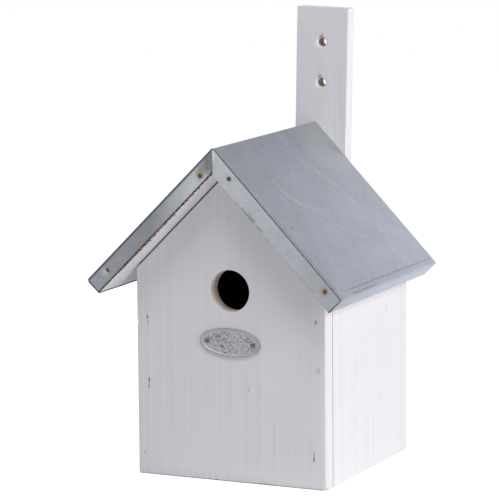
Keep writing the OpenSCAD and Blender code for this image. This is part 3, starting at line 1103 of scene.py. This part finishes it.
def makeBatten():
    thickness = battenHigh[1] - battenLow[1]
    half = batten["width"] / 2
    radius = batten["holeRadius"]
    piece = addBlock("hangingBatten", (-half, -thickness, 0), (half, 0, batten["length"]))
    for height in batten["holes"]:
        cutter = addDrum("hangCutter", (0, -thickness / 2, height), radius, cutterLength, batten["holeSides"])
        cutWith(piece, cutter)
        onRim = lambda point: abs(math.hypot(point.x, point.z - height) - radius) < near
        frontRim = lambda point: point.y < -thickness + tiny and onRim(point)
        bevelWhere(piece, "EDGE", frontRim, batten["rim"], 3)
    soften(piece, batten["soft"])
    # the broad faces stay flat, so that the rims don't shade them
    editSelection(piece, "FACE", lambda face: abs(face.normal.y) > 0.999)
    bpy.ops.mesh.faces_shade_flat()
    leaveEdit()
    turnAndMove(piece, batten["lean"], onBatten(0))

    def pick(face):
        for height in batten["holes"]:
            away = face.center - onBatten(height)
            if math.hypot(away.x, away.z) < radius + batten["boreSlack"] and abs(face.normal.y) < 0.2:
                return 1
        return 0

    finishPiece(piece, ["hanging_batten"], [battenPaint, rawBore], pick)


def makeScrews():
    radius, depth = screws["headRadius"], screws["headDepth"]
    model = addDrum("screwModel", (0, -depth / 2, 0), radius, depth, screws["sides"])
    editSelection(model, "FACE", lambda face: face.normal.y < -facing)
    ratio = screws["shankRadius"] / radius
    bpy.ops.transform.resize(value=(ratio, 1, ratio))
    extrudeBy((0, -screws["length"], 0))
    leaveEdit()
    for turn in (0, math.pi / 2):
        slot = addBlock("crossCutter", -screws["slot"] / 2, screws["slot"] / 2)
        turnAndMove(slot, turn)
        cutWith(model, slot)
    for height, node in zip(batten["screws"], ("batten_screw_lower", "batten_screw_upper")):
        piece = copyPiece(model, pieceName(node), onBatten(height))
        finishPiece(piece, [node], [screwSteel])
    discard(model)


makeBatten()
makeScrews()
print("batten made")


# oval plaque with a raised rim and a bare, cast field
plaque = {
    "width": 50.5 * mm, "height": 22 * mm, "thick": 1.6 * mm, "rimTop": 1.6 * mm, "rimSlope": 0.4 * mm,
    "field": 0.5 * mm, "sides": 96, "soft": 0.25 * mm, "turn": math.radians(2),
}
pins = {
    "headRadius": 1.7 * mm, "headHeight": 0.8 * mm, "shankRadius": 0.8 * mm, "length": 8 * mm, "sides": 20,
}
fieldY = plaqueHigh[1] - plaque["thick"] + plaque["field"]


def makePlaque():
    centre = (Vector(plaqueLow) + Vector(plaqueHigh)) / 2
    centre.y = plaqueHigh[1] - plaque["thick"] / 2
    piece = addDrum("ovalPlaque", (0, 0, 0), plaque["width"] / 2, plaque["thick"], plaque["sides"])
    piece.scale = (1, 1, plaque["height"] / plaque["width"])
    settle(piece)
    editSelection(piece, "FACE", lambda face: face.normal.y < -facing)
    bpy.ops.mesh.inset(thickness=plaque["rimTop"])
    bpy.ops.mesh.inset(thickness=plaque["rimSlope"])
    bpy.ops.transform.translate(value=(0, plaque["field"], 0))
    leaveEdit()
    soften(piece, plaque["soft"], segments=3, angle=25, smooth=30)
    turnAndMove(piece, plaque["turn"], centre)

    def pick(face):
        if face.normal.y < -0.95 and abs(face.center.y - fieldY) < 2 * tiny:
            return 0
        # the rim's inner slope takes the lighter metal of the painted highlight
        away = face.center - centre
        facingIn = face.normal.x * away.x + face.normal.z * away.z < 0
        return 2 if facingIn and face.center.y < fieldY else 1

    finishPiece(piece, ["plaque"], [castMetal, castRim, castLipHighlight], pick)


def makePins():
    model = makeNail("pinModel", pins)
    for node in ("plaque_pin_left", "plaque_pin_right"):
        piece = copyPiece(model, pieceName(node), middleOf(node, fieldY))
        finishPiece(piece, [node], [pinIron])
    discard(model)


makePlaque()
makePins()
print("plaque made")


# floor, light and camera
studio = {
    "floor": 6.0, "floorColour": (0.85, 0.85, 0.86), "glow": 0.95, "veil": (0.3, 0.3, 0.3),
    "sky": (0.96, 0.96, 1.0), "skyStrength": 0.302,
}
lampTarget = Vector((0, 0, 0.15))
lamps = {
    "keyLamp": {"place": (2.2, -0.2, 0.9), "size": 1.6, "power": 37, "colour": (1, 1, 0.97)},
    "topLamp": {"place": (0.45, -1.3, 2.3), "size": 1.0, "power": 20.5, "colour": (1, 1, 1)},
}
photoView = {
    "yaw": math.radians(25.112), "pitch": math.radians(8.959), "roll": math.radians(-0.476),
    "target": Vector((-20.26, 0, 166.12)) * mm, "distance": 2420.41 * mm,
    "focalPixels": 3104.26, "framePixels": 500, "sensor": 36, "clipEnd": 50,
}


def whenSeen(tree, bounced, seen, target):
    # one shader for what the camera sees, straight or by a mirror or a pane, and one for bounced light
    rays = tree.nodes.new("ShaderNodeLightPath").outputs
    sight = larger(rays["Is Glossy Ray"], rays["Is Transmission Ray"])
    choose = newNode("ShaderNodeMixShader", tree)
    feedAll(choose, larger(rays["Is Camera Ray"], sight), bounced.outputs[0], seen.outputs[0])
    feed(choose.outputs[0], target)


def makeFloor():
    bpy.ops.mesh.primitive_plane_add(size=studio["floor"], location=(0, 0, 0))
    floor = nameActive("studioFloor")
    material, shader, place = newMaterial(
        "studioFloor", Roughness=0.9, Specular_IOR_Level=0.0, Base_Color=(*studio["floorColour"], 1),
    )
    tree = material.node_tree
    glow = newNode("ShaderNodeEmission", tree, Strength=studio["glow"])
    veil = newNode("ShaderNodeBsdfDiffuse", tree, Color=(*studio["veil"], 1))
    both = newNode("ShaderNodeAddShader", tree)
    feedAll(both, glow.outputs[0], veil.outputs[0])
    whenSeen(tree, shader, both, tree.nodes["Material Output"].inputs["Surface"])
    floor.data.materials.append(material)


def makeWorld():
    world = bpy.data.worlds.new("studioWorld")
    bpy.context.scene.world = world
    world.use_nodes = True
    tree = world.node_tree
    light = tree.nodes["Background"]
    fill(light, Color=(*studio["sky"], 1), Strength=studio["skyStrength"])
    white = newNode("ShaderNodeBackground", tree, Color=(1, 1, 1, 1), Strength=1.0)
    whenSeen(tree, light, white, tree.nodes["World Output"].inputs["Surface"])


def addLamp(name, look):
    bpy.ops.object.light_add(type="AREA", location=look["place"])
    lamp = nameActive(name)
    lamp.data.shape = "SQUARE"
    lamp.data.size = look["size"]
    lamp.data.energy = look["power"]
    lamp.data.color = look["colour"]
    aim = lampTarget - Vector(look["place"])
    lamp.rotation_euler = aim.to_track_quat("-Z", "Y").to_euler()


def makeCamera():
    yaw, pitch = photoView["yaw"], photoView["pitch"]
    back = Vector((math.sin(yaw) * math.cos(pitch), -math.cos(yaw) * math.cos(pitch), math.sin(pitch)))
    bpy.ops.object.camera_add(location=photoView["target"] + back * photoView["distance"])
    camera = nameActive("photoCamera")
    turn = (-back).to_track_quat("-Z", "Y") @ Quaternion((0, 0, 1), photoView["roll"])
    camera.rotation_euler = turn.to_euler()
    camera.data.sensor_width = photoView["sensor"]
    camera.data.lens = photoView["focalPixels"] * photoView["sensor"] / photoView["framePixels"]
    camera.data.clip_end = photoView["clipEnd"]
    bpy.context.scene.camera = camera


makeFloor()
makeWorld()
for lampName, lampLook in lamps.items():
    addLamp(lampName, lampLook)
makeCamera()
bpy.context.scene.view_settings.view_transform = "Standard"
print("stage, lamps and camera made")

bpy.ops.object.select_all(action="DESELECT")
